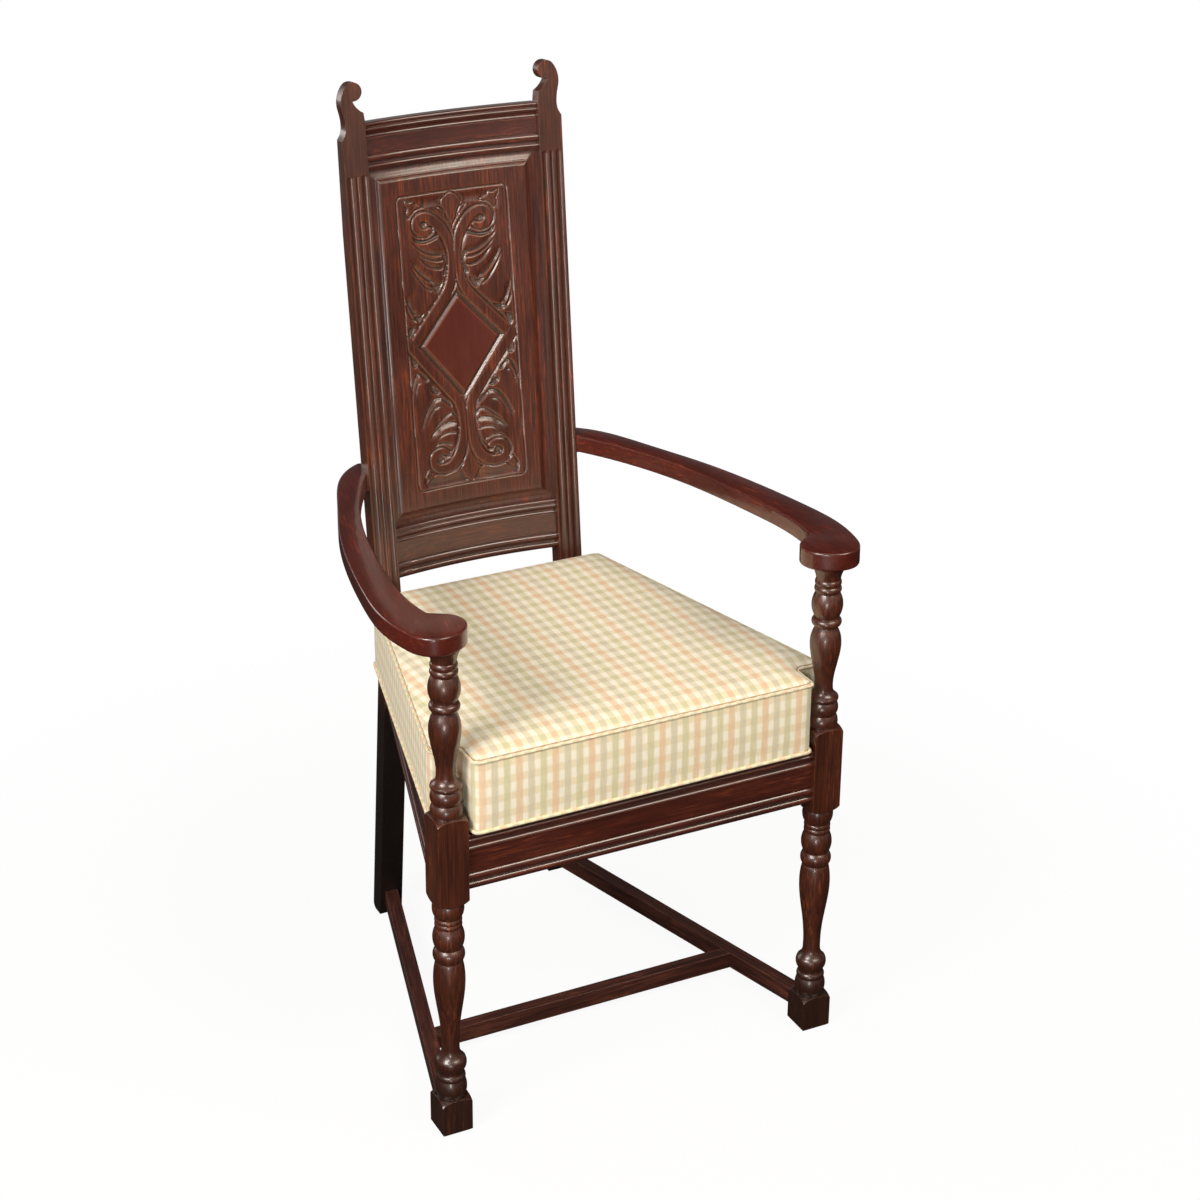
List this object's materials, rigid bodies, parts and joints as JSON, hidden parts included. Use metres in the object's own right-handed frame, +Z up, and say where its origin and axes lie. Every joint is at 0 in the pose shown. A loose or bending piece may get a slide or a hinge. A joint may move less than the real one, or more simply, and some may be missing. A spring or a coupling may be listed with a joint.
{
  "type": "panel-back armchair",
  "caption": "Tall, narrow panel-back armchair with turned front posts, bowed open arms, moulded rails, a carved raised back panel and a loose box cushion.",
  "frame": {"origin": "centre of the chair's outline on the floor", "axes": "+Z up, the front of the chair looks along -Y, +X to the right of the sitter's front seen from the front"},
  "size_m": [0.6358, 0.6146, 1.219],
  "materials": {
    "stained_wood": "dark mahogany stain under a satin varnish",
    "panel_wood": "dark mahogany stain under a satin varnish, rubbed on the edges",
    "arm_wood": "deep red-brown stain, polished by use",
    "secondary_wood": "plain unstained wood",
    "screw_steel": "dull steel",
    "cushion_fabric": "woven cotton check in cream with peach, sage and grey-beige stripes"
  },
  "bodies": {
    "chair": {"front_post_left": "stained_wood", "front_post_right": "stained_wood", "rear_post_left": "stained_wood", "rear_post_right": "stained_wood", "crest_rail": "stained_wood", "lower_back_rail": "stained_wood", "back_panel": "panel_wood", "arm_left": "arm_wood", "arm_right": "arm_wood", "front_seat_rail": "stained_wood", "rear_seat_rail": "stained_wood", "side_seat_rail_left": "stained_wood", "side_seat_rail_right": "stained_wood", "side_stretcher_left": "stained_wood", "side_stretcher_right": "stained_wood", "cross_stretcher": "stained_wood", "seat_board": "secondary_wood", "corner_block_front_left": "secondary_wood", "corner_block_front_right": "secondary_wood", "corner_block_rear_left": "secondary_wood", "corner_block_rear_right": "secondary_wood", "corner_block_screws": "screw_steel", "arm_dowels": "secondary_wood"},
    "loose_cushion": {"cushion": "cushion_fabric"}
  },
  "joints": [
    {"name": "cushion_lift", "type": "slide", "parent": "chair", "child": "loose_cushion", "axis": [0, 0, 1], "range_m": [0, 0.12]}
  ]
}
